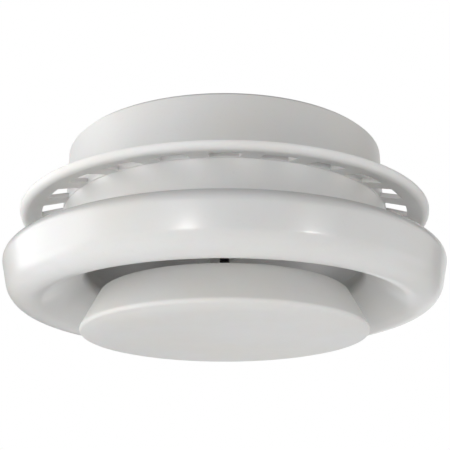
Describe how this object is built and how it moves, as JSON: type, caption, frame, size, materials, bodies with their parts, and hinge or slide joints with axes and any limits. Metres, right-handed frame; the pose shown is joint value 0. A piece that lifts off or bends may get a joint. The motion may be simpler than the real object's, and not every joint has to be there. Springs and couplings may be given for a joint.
{
  "type": "ceiling air valve",
  "caption": "Round ceiling air diffuser: a slotted mounting collar, a rounded bell-mouth ring that plugs into it, and a disc on a threaded spindle that sets the air gap.",
  "frame": {"origin": "on the valve's axis, in the ceiling's plane, where the collar's flange seats", "axes": "+Z along the axis, up into the duct; the disc faces -Z into the room; -Y is the front, midway along one of the flange's slots"},
  "size_m": [0.167, 0.167, 0.0714],
  "materials": {
    "collar_plastic": "smooth moulded, low sheen",
    "ring_plastic": "smooth moulded, glossy",
    "disc_plastic": "fine moulded grain",
    "bridge_plastic": "smooth moulded",
    "seal_rubber": "matt",
    "zinc_steel": "bright zinc plated",
    "dark_steel": "blackened",
    "insert_brass": "turned"
  },
  "bodies": {
    "collar": {"mounting_collar": "collar_plastic"},
    "valve": {"valve_ring": "ring_plastic", "sleeve_seal": "seal_rubber", "spoke_bridge": "bridge_plastic", "bridge_screws": "zinc_steel", "hub_bush": "insert_brass", "lock_washer": "zinc_steel"},
    "lock_nut": {"lock_nut": "zinc_steel"},
    "spindle": {"spindle": "dark_steel"},
    "disc": {"disc": "disc_plastic", "disc_insert": "insert_brass", "disc_washer": "zinc_steel", "disc_nut": "zinc_steel"}
  },
  "joints": [
    {"name": "valve_push", "type": "slide", "parent": "collar", "child": "valve", "axis": [0, 0, 1], "range_m": [-0.004, 0.011]},
    {"name": "disc_travel", "type": "slide", "parent": "valve", "child": "spindle", "axis": [0, 0, 1], "range_m": [-0.00351, 0.01751]},
    {"name": "disc_turn", "type": "hinge", "parent": "spindle", "child": "disc", "pos_m": [0, 0, -0.04], "axis": [0, 0, 1], "range_deg": [-1800, 9000]},
    {"name": "lock_nut_turn", "type": "hinge", "parent": "valve", "child": "lock_nut", "pos_m": [0, 0, 0.001], "axis": [0, 0, 1], "range_deg": [0, 180]}
  ],
  "couplings": [
    {"joint": "disc_travel", "follows": "disc_turn", "m_per_rad": 0.00011141}
  ]
}
